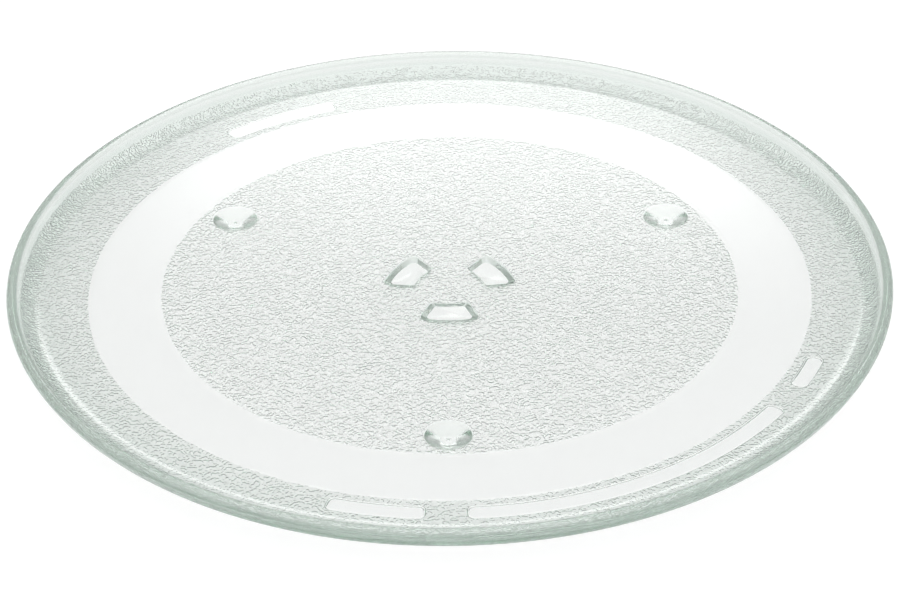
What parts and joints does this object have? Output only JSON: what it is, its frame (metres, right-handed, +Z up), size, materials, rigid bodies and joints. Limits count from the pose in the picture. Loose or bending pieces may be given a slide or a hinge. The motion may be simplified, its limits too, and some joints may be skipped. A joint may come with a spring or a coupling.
{
  "type": "microwave turntable plate",
  "caption": "Round pressed-glass turntable plate for a microwave oven, with a low flared rim, a smooth roller track, conical feet and central drive lugs underneath.",
  "frame": {"origin": "on the axis of rotation, in the plane on which the ends of the feet stand", "axes": "+Z up along the axis of rotation, out of the dish; -Y towards the foot that is nearest in the picture; +X to the right"},
  "size_m": [0.318, 0.318, 0.0167],
  "materials": {
    "glass": "clear pressed soda-lime glass with a faint green cast; the underside is pebbled apart from the smooth roller track, the lugs, the feet and the bare panels"
  },
  "bodies": {
    "root": {"turntable_plate": "glass"}
  },
  "joints": []
}
